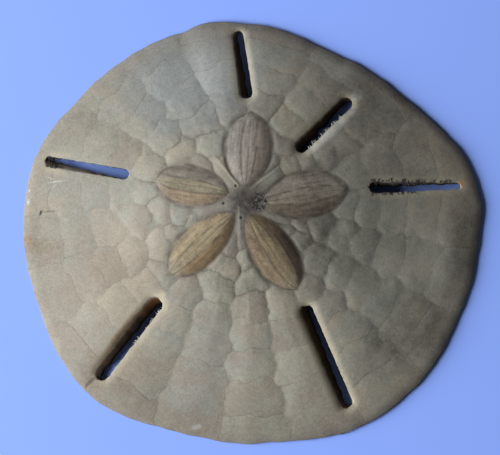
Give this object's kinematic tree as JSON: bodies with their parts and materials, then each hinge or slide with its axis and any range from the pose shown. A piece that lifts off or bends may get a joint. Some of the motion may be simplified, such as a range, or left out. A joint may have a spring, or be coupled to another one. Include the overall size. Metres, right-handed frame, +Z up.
{
  "type": "sand dollar",
  "caption": "Bare test of a keyhole sand dollar: a thin, low-domed disc with a petal rosette, a mosaic of plates and slot-like holes through it.",
  "frame": {"origin": "centre of the bounding box in plan, on the plane that the underside rests on", "axes": "+Z up, through the apex side; +X and +Y lie in the resting plane, and the slot-like hole nearest the apex points to about +X +Y"},
  "size_m": [0.0919, 0.0846, 0.011],
  "materials": {
    "calcite": "matt, chalky and finely granular"
  },
  "bodies": {
    "root": {"test": "calcite"}
  },
  "joints": []
}
